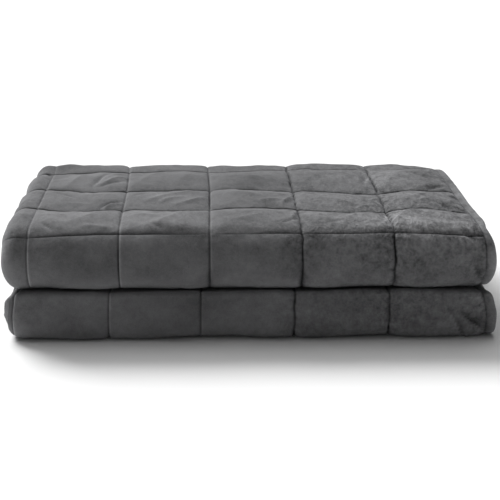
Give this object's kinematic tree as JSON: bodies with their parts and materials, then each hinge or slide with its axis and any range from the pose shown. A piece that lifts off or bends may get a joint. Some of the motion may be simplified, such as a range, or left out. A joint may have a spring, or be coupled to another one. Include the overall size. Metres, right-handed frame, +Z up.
{
  "type": "weighted blanket",
  "caption": "Quilted weighted blanket in dark grey plush, folded in half, its ends folded in to the middle, and folded shut.",
  "frame": {"origin": "centre of the folded blanket's footprint, on the surface that it rests on", "axes": "+X along the length of the fold, towards the stacked hems; +Y back towards the spine; +Z up; the open front folds face -Y"},
  "size_m": [0.6066, 0.4386, 0.1428],
  "materials": {
    "blanket_fabric": "short dark grey plush with a soft sheen"
  },
  "bodies": {
    "root": {"weighted_blanket": "blanket_fabric"}
  },
  "joints": []
}
